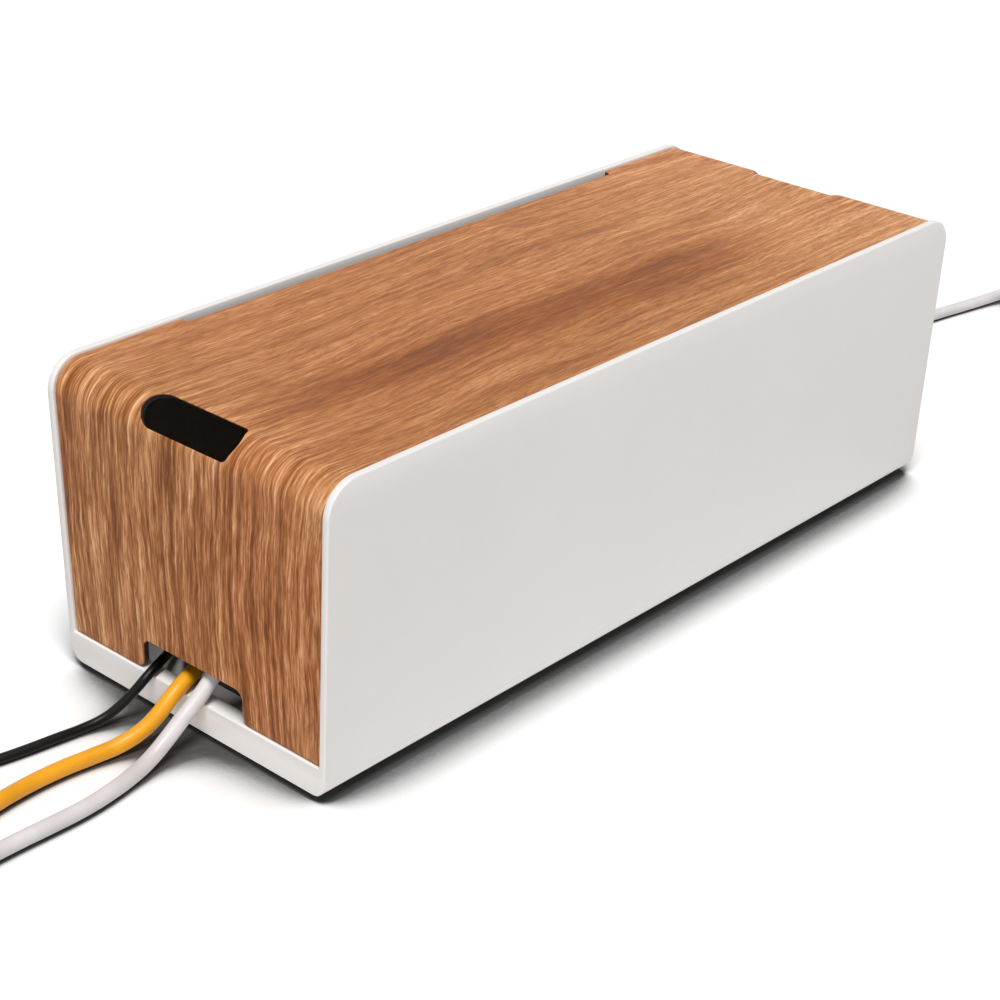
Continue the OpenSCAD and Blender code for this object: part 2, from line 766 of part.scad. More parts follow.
module white_plug() { color("white") angled_plug(white_socket, white_boss_turn); }
module white_plug_pins() { pins(white_socket); }
module yellow_plug() { color("gold") angled_plug(yellow_socket, yellow_boss_turn); }
module yellow_plug_pins() { pins(yellow_socket); }

// A small mains adaptor that feeds the black cord
module adaptor() {
    start = strip_top + 0.6;
    face = cup_floor + seat_gap;
    color("black") translate([socket_x(adaptor_socket), 0, 0]) {
        difference() {
            translate([0, 0, face]) cylinder(h = start - face + overlap, d = plug_diameter);
            rotate(socket_turn) for (side = [-1, 1])
                translate([0, side * plug_diameter / 2, face + (start - face) / 2])
                    cube([clip_width + 2, 2 * groove_depth, start - face + 0.02], center = true);
        }
        translate([0, 0, start])
            round_block(adaptor_length, adaptor_width, adaptor_height, 6);
        translate([adaptor_outlet_x, adaptor_width / 2 - overlap, strip_top + adaptor_outlet_rise])
            rotate([-90, 0, 0])
                cylinder(h = adaptor_outlet_length + overlap, d1 = 9, d2 = 5.4);
    }
}

module adaptor_pins() { pins(adaptor_socket); }

// A tube swept along a route, one ring of corners at each of its points
function unit(v) = v / norm(v);
function heading(route, i) =
    unit(route[min(i + 1, len(route) - 1)] - route[max(i - 1, 0)]);
function ring(route, i, radius, sides, across) =
    let (t = heading(route, i), u = unit(cross(t, across)), v = cross(u, t))
    [for (k = [0 : sides - 1])
        route[i] + radius * (cos(360 * k / sides) * u + sin(360 * k / sides) * v)];
module tube(route, diameter, across = [0, 1, 0], sides = cord_sides) {
    count = len(route);
    points = [for (i = [0 : count - 1]) each ring(route, i, diameter / 2, sides, across)];
    skin = [for (i = [0 : count - 2], k = [0 : sides - 1])
        let (a = i * sides + k, b = i * sides + (k + 1) % sides)
        each [[a, b, b + sides], [a, b + sides, a + sides]]];
    near_cap = [[for (k = [sides - 1 : -1 : 0]) k]];
    far_cap = [[for (k = [0 : sides - 1]) (count - 1) * sides + k]];
    polyhedron(points = points, faces = concat(skin, near_cap, far_cap), convexity = 4);
}

// The outer shape of a round coil that lies flat
module coil(ring, ring_radius, diameter, turns) {
    band = turns[0] * diameter;
    rise = turns[1] * diameter;
    translate([ring[0], ring[1], rise / 2]) rotate_extrude()
        translate([ring_radius, 0]) round_rect(band, rise, diameter / 2);
}

// The wires inside the strip, from the lead's sheath to the switch and the bars
wire_diameter = 2;
wire_sides = 8;
wire_start = strip_end - strip_wall - relief_inner;
bar_end = bar_start + bar_length;
wire_run = switch_x - tab_offset - bar_end;
wire_bar_y = pin_offset + pin_diameter / 2 + brass_wall / 2;
wire_bar_z = bar_level + bar_height / 2;
earth_wire_z = earth_level - 1.5 * brass_wall;
module wire(route) { tube(route, wire_diameter, [0, 1, 0], wire_sides); }
module live_wire() {
    color("saddlebrown") wire([
        [wire_start + 1.6, 1.13, relief_level - 0.65],
        [wire_start - 5, 1.4, relief_level - 1],
        [(wire_start + switch_x) / 2, 1, relief_level - 2.4],
        [switch_x + tab_offset + 5, 0.4, relief_level - 0.5],
        [switch_x + tab_offset, 0, tab_foot - 4],
        [switch_x + tab_offset, 0, tab_foot]
    ]);
}
module switched_wire() {
    color("saddlebrown") wire([
        [switch_x - tab_offset, 0, tab_foot],
        [switch_x - tab_offset, 0, tab_foot - 4],
        [bar_end + 0.86 * wire_run, 2, tab_foot - 8],
        [bar_end + 0.65 * wire_run, wire_bar_y - 3, wire_bar_z + 1],
        [bar_end + 0.28 * wire_run, wire_bar_y, wire_bar_z],
        [bar_end, wire_bar_y, wire_bar_z]
    ]);
}
module neutral_wire() {
    color("royalblue") wire([
        [wire_start + 1.6, -1.13, relief_level - 0.65],
        [wire_start - 5, -1.8, relief_level - 1],
        [wire_start - 22, -6, wire_bar_z],
        [switch_x, -wire_bar_y, wire_bar_z],
        [bar_end + 0.28 * wire_run, -wire_bar_y, wire_bar_z],
        [bar_end, -wire_bar_y, wire_bar_z]
    ]);
}
module earth_wire() {
    color("yellowgreen") wire([
        [wire_start + 1.6, 0, relief_level + 1.3],
        [wire_start - 5, 0, relief_level + 1.8],
        [wire_start - 16, -2.5, relief_level + 3.5],
        [switch_x + tab_offset, -6, earth_wire_z - 2],
        [switch_x - 2 * tab_offset, -5, earth_wire_z],
        [bar_end + 0.37 * wire_run, 0, earth_wire_z],
        [bar_end, 0, earth_wire_z]
    ]);
}

module black_cord() { color("black") tube(black_route, black_diameter, [0, 0, 1]); }
module black_coil() {
    color("black") coil(black_ring, black_ring_radius, black_diameter, black_turns);
}
module yellow_cord() { color("orange") tube(yellow_route, yellow_diameter); }
module yellow_coil() {
    color("orange") coil(yellow_ring, yellow_ring_radius, yellow_diameter, yellow_turns);
}
module white_cord() { color("whitesmoke") tube(white_route, white_diameter); }
module white_coil() {
    color("whitesmoke") coil(white_ring, white_ring_radius, white_diameter, white_turns);
}
module mains_cord() { color("whitesmoke") tube(mains_route, mains_diameter); }
module mains_coil() {
    color("whitesmoke") coil(mains_ring, mains_ring_radius, mains_diameter, mains_turns);
}

// The black cord's low-voltage connector, lying on its coil
black_connector_level = black_turns[1] * black_diameter + 4.5;
black_connector_end = black_ring[0] - 10;
black_connector_y = black_ring[1] + black_ring_radius - 1.4;
module black_connector() {
    color("black") translate([black_connector_end, black_connector_y, black_connector_level])
        rotate([0, 90, 0]) {
            cylinder(h = 10.02, d1 = 5.2, d2 = 8);
            translate([0, 0, 10]) cylinder(h = 22, d = 9);
        }
}
module black_connector_barrel() {
    color("silver")
        translate([black_connector_end + 32, black_connector_y, black_connector_level])
            rotate([0, 90, 0]) difference() {
                cylinder(h = 9.5, d = 5.5);
                translate([0, 0, 1]) cylinder(h = 9.5, d = 2.5);
            }
}

// A two-hole appliance connector with a tapered relief, its cord entering at its end
module appliance_connector(width, height, length) {
    rotate([0, 90, 0]) cylinder(h = connector_relief + overlap, d1 = 7.9, d2 = 9.6);
    translate([connector_relief, 0, 0]) difference() {
        translate([length / 2, 0, -height / 2]) linear_extrude(height)
            round_rect(length, width, 2.5);
        for (side = [-1, 1]) translate([length - 12, side * width / 4, 0])
            rotate([0, 90, 0]) cylinder(h = 12 + overlap, d = 3.4);
    }
}
module yellow_connector() {
    width = 16;
    height = 9.6;
    color("orange")
        translate([yellow_ring[0] - 16, yellow_ring[1] + yellow_ring_radius - 6.2,
                   yellow_turns[1] * yellow_diameter + height / 2])
            appliance_connector(width, height, 30);
}
module white_connector() {
    width = 16;
    height = 9.6;
    color("whitesmoke")
        translate([white_ring[0] - 16, white_ring[1] - white_ring_radius + 6.2,
                   white_turns[1] * white_diameter + height / 2])
            appliance_connector(width, height, 30);
}

// The mains lead's straight plug, lying beside its coil
mains_plug_level = plug_diameter / 2;
mains_plug_y = mains_ring[1] - mains_ring_radius - mains_diameter;
mains_plug_end = mains_ring[0] - 17.5;
mains_plug_length = straight_plug_relief + straight_plug_cone + straight_plug_body;
module mains_plug() {
    color("whitesmoke") translate([mains_plug_end, mains_plug_y, mains_plug_level])
        rotate([0, -90, 0]) {
            cylinder(h = straight_plug_relief + 0.02, d1 = 8.4, d2 = 14);
            translate([0, 0, straight_plug_relief])
                cylinder(h = straight_plug_cone + 0.02, d1 = 22, d2 = 34);
            translate([0, 0, straight_plug_relief + straight_plug_cone])
                cylinder(h = straight_plug_body, d = plug_diameter);
        }
}
module mains_plug_pins() {
    color("silver") translate([mains_plug_end - mains_plug_length, mains_plug_y, mains_plug_level])
        rotate([0, -90, 0]) for (side = [-1, 1]) translate([0, side * pin_spacing / 2, 0]) {
            cylinder(h = pin_length - pin_diameter / 2, d = pin_diameter);
            translate([0, 0, pin_length - pin_diameter / 2]) sphere(d = pin_diameter);
        }
}

base_shell();
lid();
foot_1();
foot_2();
foot_3();
foot_4();
strip_base();
strip_cover();
socket_1();
socket_2();
socket_3();
socket_4();
socket_5();
earth_clips();
earth_bar();
live_bar();
neutral_bar();
strip_screws();
switch_frame();
switch_rocker();
switch_tabs();
mains_relief();
live_wire();
switched_wire();
neutral_wire();
earth_wire();
white_plug();
white_plug_pins();
yellow_plug();
yellow_plug_pins();
adaptor();
adaptor_pins();
black_cord();
black_coil();
black_connector();
black_connector_barrel();
yellow_cord();
yellow_coil();
yellow_connector();
white_cord();
white_coil();
white_connector();
mains_cord();
mains_coil();
mains_plug();
mains_plug_pins();
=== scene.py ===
import json
import math

import bmesh
import bpy
from mathutils import Matrix, Vector
from mathutils.geometry import delaunay_2d_cdt


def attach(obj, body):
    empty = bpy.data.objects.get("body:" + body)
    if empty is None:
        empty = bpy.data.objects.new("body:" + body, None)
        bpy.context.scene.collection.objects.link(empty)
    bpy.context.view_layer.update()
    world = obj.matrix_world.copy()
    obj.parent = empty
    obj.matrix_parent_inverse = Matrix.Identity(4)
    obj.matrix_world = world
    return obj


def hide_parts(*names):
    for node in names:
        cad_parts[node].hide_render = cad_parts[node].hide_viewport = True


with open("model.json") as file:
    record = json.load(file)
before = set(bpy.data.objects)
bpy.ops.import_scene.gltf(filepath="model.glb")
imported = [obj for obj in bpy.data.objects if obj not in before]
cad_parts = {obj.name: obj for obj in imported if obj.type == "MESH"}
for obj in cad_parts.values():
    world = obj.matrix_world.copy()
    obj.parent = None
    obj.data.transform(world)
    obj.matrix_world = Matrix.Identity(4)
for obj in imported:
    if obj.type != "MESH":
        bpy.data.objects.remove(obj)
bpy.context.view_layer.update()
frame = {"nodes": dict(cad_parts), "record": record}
scene = bpy.context.scene
scene.view_settings.view_transform = "Standard"
MM = 0.001


# ---------------------------------------------------------------- camera
def add_camera():
    """The photograph's view: eye in millimetres, directions in degrees."""
    az, el, roll = (math.radians(v) for v in (41.39, 26.92, 1.6))
    ahead = Vector((math.cos(el) * math.cos(az), math.cos(el) * math.sin(az), -math.sin(el)))
    level = ahead.cross(Vector((0, 0, 1))).normalized()
    above = level.cross(ahead)
    right = level * math.cos(roll) + above * math.sin(roll)
    up = above * math.cos(roll) - level * math.sin(roll)
    data = bpy.data.cameras.new("camera")
    data.lens = 80.254
    data.sensor_width = 36
    data.sensor_fit = "HORIZONTAL"
    camera = bpy.data.objects.new("camera", data)
    camera.matrix_world = Matrix.Translation(Vector((-675.28, -576.61, 480.64)) * MM) @ Matrix(
        (right, up, -ahead)
    ).transposed().to_4x4()
    scene.collection.objects.link(camera)
    scene.camera = camera


add_camera()


# ---------------------------------------------------------------- cords
BLACK_D, YELLOW_D, WHITE_D, MAINS_D = 4, 6.5, 6.5, 6
BLACK_ROUTE = [
    (30, 38, 60), (30, 43, 60), (27.5, 49, 58.5), (20.5, 53, 53.5), (10, 54.8, 43.5),
    (-2, 54.8, 31.5), (-14, 54.6, 20.5), (-28, 54.2, 11.5), (-46, 54, 7.4), (-66, 54, 6.6),
    (-88, 54, 6.6), (-110, 54.2, 6.6), (-130, 54, 6.6), (-147, 52, 6.8), (-160, 47.6, 8.2),
    (-171, 41.6, 11.2), (-180.5, 34.6, 15), (-188.5, 28.2, 18), (-196, 23.7, 19.5),
    (-203, 22.1, 17.7), (-209, 23.1, 13), (-214.8, 25.3, 7.8), (-221, 27.8, 3.8), (-229, 30, 2.05),
    (-242, 31.9, 2.05), (-256, 33.9, 2.05), (-268.5, 36.5, 2.05), (-280.5, 40.6, 2.05),
    (-291.5, 47.2, 2.05), (-301, 56.8, 2.05), (-307.6, 68.4, 2.05), (-310.9, 82, 2.05),
]
YELLOW_ROUTE = [
    (-37.1, 31.1, 65), (-43.5, 37.5, 65), (-53, 43.6, 63), (-65, 46.4, 57), (-77, 47.2, 48),
    (-89, 47.2, 37.5), (-101, 47, 27), (-114, 46.8, 17.5), (-129, 46.4, 10.5), (-144, 45, 8.3),
    (-157, 41.8, 9), (-167.4, 36.4, 11), (-174.6, 29.2, 13.4), (-178.9, 21.6, 16),
    (-182.9, 14.9, 18.3), (-188, 9.8, 20.1), (-194, 6.5, 21), (-200.4, 4.5, 20.3),
    (-206.8, 3.5, 17.6), (-213.2, 3.6, 12.9), (-220.4, 5.3, 7.8), (-229.4, 8, 4.2),
    (-240.5, 10.2, 3.3), (-255, 12, 3.3), (-270, 12.3, 3.3), (-286, 11, 3.3), (-303, 8.4, 3.3),
    (-319, 6.2, 3.3), (-333, 5.1, 3.3),
]
WHITE_ROUTE = [
    (-91.9, -18.6, 65), (-101, -22.6, 64.4), (-110.5, -25, 62), (-120.5, -25.8, 58.1),
    (-131, -25.2, 54.4), (-141, -23.9, 52.2), (-150.5, -21.6, 51.9), (-159.5, -17.8, 53),
    (-167.4, -13.6, 54), (-173.4, -10.8, 53.1), (-178.5, -8.8, 50.3), (-182.4, -7.7, 45.7),
    (-185.8, -7.2, 39.4), (-189.2, -7, 33), (-192.8, -7, 27.8), (-197, -7.1, 23.7),
    (-202.8, -7.2, 19.3), (-210, -7.4, 14.9), (-218.8, -7.5, 8.9), (-228, -8.4, 4.6),
    (-239, -10.8, 3.3), (-251, -13.2, 3.3), (-264, -14.6, 3.3), (-278, -14.5, 3.3),
    (-293, -13.9, 3.3), (-309, -13.8, 3.3), (-326, -14.4, 3.3), (-347, -15.7, 3.3),
    (-370, -16.6, 3.3), (-393, -16.8, 3.3),
]
MAINS_ROUTE = [
    (176, 0, 21), (186, 0, 21), (195.5, 0.4, 20.9), (204.2, 1.2, 19), (212, 2.3, 15),
    (219.5, 3.5, 10.2), (228, 5.1, 6), (238.5, 7.4, 3.6), (252, 10.8, 3), (272, 15.8, 3),
    (297, 21.4, 3), (325, 26, 3), (352, 28, 3), (372, 27.2, 3), (388, 24.6, 3), (404, 21.4, 3),
    (420, 18.4, 3), (433, 16.2, 3), (444.5, 14.3, 3),
]


def ease(t):
    """Runs smoothly from 0 to 1 as t does."""
    t = min(max(t, 0), 1)
    return t * t * (3 - 2 * t)


def coil(middle, ring, diameter, across, start, turning, turns):
    """Points of a neat coil: turns side by side on the floor, then a second layer on them."""
    lower = [ring + ((across - 1) / 2 - j) * diameter for j in range(across)]
    seats = [(r, diameter / 2) for r in lower] + [(r, 1.5 * diameter) for r in reversed(lower)]
    points = []
    count = int(round(turns * 20))
    for i in range(count + 1):
        # The last part of each turn moves over to the next seat
        wound = turns * i / count
        turn, part = divmod(wound, 1)
        here = seats[min(int(turn), len(seats) - 1)]
        then = seats[min(int(turn) + 1, len(seats) - 1)]
        step = ease((part - 0.78) / 0.22)
        radius, level = (a + (b - a) * step for a, b in zip(here, then))
        angle = math.radians(start + turning * 360 * wound)
        points.append((middle[0] + radius * math.cos(angle),
                       middle[1] + radius * math.sin(angle), level))
    return points


def cord(name, points, diameter):
    """A round cord along one smooth open curve."""
    data = bpy.data.curves.new(name, "CURVE")
    data.dimensions = "3D"
    data.bevel_depth = diameter / 2 * MM
    data.bevel_resolution = 5
    data.resolution_u = 5
    data.use_fill_caps = True
    spline = data.splines.new("BEZIER")
    spline.bezier_points.add(len(points) - 1)
    for bezier, point in zip(spline.bezier_points, points):
        bezier.co = Vector(point) * MM
        bezier.handle_left_type = bezier.handle_right_type = "AUTO"
    piece = bpy.data.objects.new(name, data)
    scene.collection.objects.link(piece)
    return piece


def arc(middle, radius, start, end, level, count):
    """Points of an arc at one level, angles in degrees, without its first point."""
    angles = [math.radians(start + (end - start) * (i + 1) / count) for i in range(count)]
    return [(middle[0] + radius * math.cos(a), middle[1] + radius * math.sin(a), level)
            for a in angles]


def climb(points, level, run):
    """Lifts the last run millimetres of a cord smoothly to the level where its end sits."""
    left = 0
    out = [(points[-1][0], points[-1][1], level)]
    for here, then in zip(points[-2::-1], points[:0:-1]):
        left += math.dist(here[:2], then[:2])
        share = ease(1 - left / run)
        out.append((here[0], here[1], here[2] + (level - here[2]) * share))
    return out[::-1]


def wind(route, ring, radius, diameter, across, start, turning, turns, bend, entry, level, run):
    """The route, its coil and the last bend into the piece on the cord's end."""
    turned = coil(ring, radius, diameter, across, start, turning, turns)
    last = start + turning * 360 * turns
    goal = 90 if turning < 0 else -90
    while (goal - last) * turning < 0:
        goal += 360 * turning
    middle = (ring[0] + entry[0], ring[1] + entry[1])
    turned += arc(middle, bend, last, goal, turned[-1][2], 3)
    return list(route) + climb(turned, level, run)


# The middles of the coils, and their radii at the middle of the turns
BLACK_RING, YELLOW_RING, WHITE_RING, MAINS_RING = (-285, 94), (-350, 43), (-410, -55), (452, -29)
BLACK_COIL, MAINS_CORD_COIL = 22, 35
black = cord("black_lead", wind(
    BLACK_ROUTE, BLACK_RING, BLACK_COIL, BLACK_D, across=3, start=180, turning=-1, turns=5.0928,
    bend=14, entry=(-10, 6.6), level=12.5, run=30), BLACK_D)
yellow = cord("yellow_lead", wind(
    YELLOW_ROUTE, YELLOW_RING, MAINS_CORD_COIL, YELLOW_D, across=2, start=-90, turning=-1,
    turns=3.33, bend=20, entry=(-16, 8.8), level=17.8, run=45), YELLOW_D)
white = cord("white_lead", wind(
    WHITE_ROUTE, WHITE_RING, MAINS_CORD_COIL, WHITE_D, across=2, start=90, turning=1,
    turns=3.33, bend=20, entry=(-16, -8.8), level=17.8, run=45), WHITE_D)
mains_points = coil(MAINS_RING, MAINS_CORD_COIL, MAINS_D, across=3, start=79.4, turning=-1,
                    turns=5.4706)
mains_points += [(445.5, -70, 9), (439.5, -70, 9), (434.5, -70, 9)]
mains = cord("mains_lead", MAINS_ROUTE + climb(mains_points, level=18.5, run=42), MAINS_D)


# ---------------------------------------------------------------- lid
# Half the flat length, the bends' outer radius, the top's level, the straight drop of the ends,
# half the width at the rim's level and the sheet's thickness
LID_FLAT, LID_RADIUS, LID_TOP, LID_END, LID_HALF, LID_WALL = 186.0, 13.0, 134.0, 104.5, 75.3, 3.0
# The outer face's length round a bend, and from the lid's middle to its foot
LID_BEND = LID_RADIUS * math.pi / 2
LID_REACH = LID_FLAT + LID_BEND + LID_END
# The angle round the bend, from the top, at which the middle of a finger slot lies
SLOT_LEAN = math.radians(35.5)
# Half the width and the depth of an end's notch
NOTCH_HALF, NOTCH_DEEP = 29, 13.6
# Half the length and the depth of the long cut-out
CUT_HALF, CUT_DEEP = 134.5, 4.2
# The box's rim, how far its side walls lean outward, and the x at which its ledges start
RIM_TOP, WALL_LEAN, LEDGE_START = 135.0, math.radians(1.85), 192.4


def bend(s, y, depth):
    """A point of the lid from its place on the unrolled sheet, and the outward normal there.

    The lid grows narrower downward, as the box does: only its outer parts move inward.
    """
    side = 1 if s >= 0 else -1
    turn = min(max((abs(s) - LID_FLAT) / LID_RADIUS, 0), math.pi / 2)
    flat, down = min(abs(s), LID_FLAT), max(abs(s) - LID_FLAT - LID_BEND, 0)
    reach = LID_RADIUS - depth
    level = LID_TOP - LID_RADIUS + reach * math.cos(turn) - down
    still, margin = 35, 8
    share = min(max((abs(y) - still) / (LID_HALF - (still + margin)), 0), 1)
    y -= math.copysign(share * (RIM_TOP - level) * math.tan(WALL_LEAN), y)
    point = Vector((side * (flat + reach * math.sin(turn)), y, level))
    return point, Vector((side * math.sin(turn), 0, math.cos(turn)))


def along(s):
    """The direction in which s grows."""
    normal = bend(s, 0, 0)[1]
    return Vector((normal.z, 0, -normal.x))


def corner(middle, radius, start, end, count):
    """Points of a round corner, angles in degrees."""
    angles = [math.radians(start + (end - start) * i / count) for i in range(count + 1)]
    return [(middle[0] + radius * math.cos(a), middle[1] + radius * math.sin(a)) for a in angles]


def lid_outline():
    """The unrolled lid's edge, counter-clockwise, with its notches and its long cut-out."""
    e, h, notch, deep, cut, cut_deep = (
        LID_REACH, LID_HALF, NOTCH_HALF, NOTCH_DEEP, CUT_HALF, CUT_DEEP)
    right = corner((e - 1, 1 - h), 1, -90, 0, 3)
    right += corner((e - 4, -notch - 4), 4, 0, 90, 6)
    right += corner((e - deep + 4, 4 - notch), 4, -90, -180, 6)
    right += corner((e - deep + 4, notch - 4), 4, 180, 90, 6)
    right += corner((e - 4, notch + 4), 4, -90, 0, 6)
    right += corner((e - 1, h - 1), 1, 0, 90, 3)
    back = corner((cut + 0.5, h - 0.5), 0.5, 90, 180, 2)
    back += corner((cut - 3, h - cut_deep + 3), 3, 0, -90, 6)
    back += [(-x, y) for x, y in reversed(back)]
    left = [(-x, -y) for x, y in right]
    return right + back + left


def refine(loop, step):
    """Cuts long sides of a loop into steps, finely where the lid bends."""
    out = []
    for i, (a, b) in enumerate(zip(loop, loop[1:] + loop[:1])):
        out.append(a)
        span = math.dist(a, b)
        if span < 2:
            continue
        cuts = [k / math.ceil(span / step) for k in range(1, math.ceil(span / step))]
        if abs(b[0] - a[0]) > 1:
            marks = [side * (LID_FLAT + LID_BEND * k / 20) for side in (-1, 1) for k in range(21)]
            cuts += [(m - a[0]) / (b[0] - a[0]) for m in marks]
        cuts = sorted(c for c in cuts if 0.0005 < c < 0.9995)
        for k, c in enumerate(cuts):
            if k == 0 or (c - cuts[k - 1]) * span > 0.25:
                out.append((a[0] + (b[0] - a[0]) * c, a[1] + (b[1] - a[1]) * c))
    return out


def inset(loop, gap):
    """The loop moved to its left by gap, and its outward directions."""
    out, outward = [], []
    for before, here, after in zip(loop[-1:] + loop[:-1], loop, loop[1:] + loop[:1]):
        one = (Vector(here) - Vector(before)).normalized()
        two = (Vector(after) - Vector(here)).normalized()
        mean = (one + two).normalized()
        side = Vector((mean.y, -mean.x))
        out.append(Vector(here) - side * gap / max(mean.dot(one), 0.5))
        outward.append(side)
    return out, outward


def slot_outline(near=3.2, far=7.5, half_width=7.9, start=-25.2, end=27.2, bulge=1.6):
    """The finger slot across its own width u and along y, clockwise."""
    loop = corner((near - half_width, start + bulge + near), near, 180, 262, 5)
    for k in range(1, 6):
        u = (half_width - near) * (k / 3 - 1)
        loop.append((u, start + bulge * (u / (half_width - near)) ** 2))
    loop += corner((half_width - near, start + bulge + near), near, 278, 360, 5)
    loop += corner((half_width - far, end - far), far, 0, 90, 9)
    loop += corner((far - half_width, end - far), far, 90, 180, 9)
    return refine(loop[::-1], step=3)


class Sheet:
    """Collects the lid's points, faces, corner normals, material numbers and grain places."""

    def __init__(self):
        self.points, self.normals, self.places = [], [], []
        self.faces, self.finish = [], []

    def add(self, s, y, depth, normal=None):
        """Adds the point at a depth under the outer face, and returns its number."""
        point, outward = bend(s, y, depth)
        self.points.append(point * MM)
        self.normals.append(normal or outward)
        self.places.append((s * MM, y * MM))
        return len(self.points) - 1

    def face(self, indices, finish):
        self.faces.append(indices)
        self.finish.append(finish)

    def skin(self, rim, holes, depth, flip, finish):
        """Fills the sheet's outline at one depth, leaving the holes open."""
        places, edges, loops = [], [], [rim] + holes
        for loop in loops:
            first = len(places)
            places += [Vector(p) for p in loop]
            edges += [(first + i, first + (i + 1) % len(loop)) for i in range(len(loop))]
        lines = [LID_FLAT * k / 12 for k in range(-12, 13)]
        lines += [side * (LID_FLAT + LID_BEND * k / 20) for side in (-1, 1) for k in range(1, 21)]
        lines += [side * (LID_FLAT + LID_BEND + LID_END * k / 6) for side in (-1, 1)
                  for k in range(1, 6)]
        for s in lines:
            for k in range(-14, 15):
                spot = Vector((s, k * 5.2))
                if all((spot - Vector(q)).length > 1.2 for loop in loops for q in loop):
                    places.append(spot)
        flat, _, faces, _, _, _ = delaunay_2d_cdt(places, edges, [], 1, 1e-5)
        sign = -1 if flip else 1
        kept = [self.add(p[0], p[1], depth, bend(p[0], 0, 0)[1] * sign) for p in flat]
        for face in faces:
            middle = sum((flat[i] for i in face), Vector((0, 0))) / len(face)
            if any(inside(middle, hole) for hole in holes) or not inside(middle, rim):
                continue
            area = sum(flat[a].cross(flat[b]) for a, b in zip(face, face[1:] + face[:1]))
            order = list(face) if (area > 0) != flip else list(face)[::-1]
            self.face([kept[i] for i in order], finish)

    def strip(self, loops, finish):
        """Joins loops of (s, y, depth, normal) tuples, one after the other."""
        rows = [[self.add(*place) for place in loop] for loop in loops]
        for upper, lower in zip(rows, rows[1:]):
            count = len(upper)
            for i in range(count):
                j = (i + 1) % count
                self.face([upper[i], lower[i], lower[j], upper[j]], finish)


def inside(point, loop):
    """Whether a point lies within a closed loop."""
    hit = False
    for (x0, y0), (x1, y1) in zip(loop, loop[1:] + loop[:1]):
        if (y0 > point[1]) != (y1 > point[1]):
            if point[0] < x0 + (point[1] - y0) / (y1 - y0) * (x1 - x0):
                hit = not hit
    return hit


def edge_profile(round_top, round_bottom):
    """(inset, depth, share of outward in the normal, sign of the face normal) down an edge."""
    steps = []
    for k in range(5):
        a = math.pi / 2 * k / 4
        steps.append((round_top * (1 - math.sin(a)), round_top * (1 - math.cos(a)),
                      math.sin(a), math.cos(a)))
    for k in range(4):
        a = math.pi / 2 * k / 3
        steps.append((round_bottom * (1 - math.cos(a)), LID_WALL - round_bottom * (1 - math.sin(a)),
                      math.cos(a), -math.sin(a)))
    return steps


def flange(sheet, edge, inward, start, end):
    """The thin rib under a long edge of the lid, from the sheet's underside down."""
    top, foot, thick, soft = 2.8, 9, 1.8, 0.4
    marks = [side * (LID_FLAT + LID_BEND * k / 12) for side in (-1, 1) for k in range(13)]
    stations = sorted([start, end] + [m for m in marks if start < m < end])
    inner = edge + inward * thick
    section = [(edge, top), (edge, foot - soft), (edge + inward * soft, foot),
               (inner - inward * soft, foot), (inner, foot - soft), (inner, top)]
    facing = [(-inward, 0), (-inward, -1), (0, -1), (inward, -1), (inward, 0)]
    for a, b, (turn_y, turn_n) in zip(section, section[1:], facing):
        rows = []
        for s in stations:
            normal = Vector((0, turn_y, 0)) + bend(s, 0, 0)[1] * turn_n
            rows.append([sheet.add(s, a[0], a[1], normal), sheet.add(s, b[0], b[1], normal)])
        for one, two in zip(rows, rows[1:]):
            quad = [one[0], two[0], two[1], one[1]]
            sheet.face(quad if inward > 0 else quad[::-1], 1)
    for s, way in ((start, -1), (end, 1)):
        cap = [sheet.add(s, y, depth, along(s) * way) for y, depth in section]
        sheet.face(cap if way * inward > 0 else cap[::-1], 1)


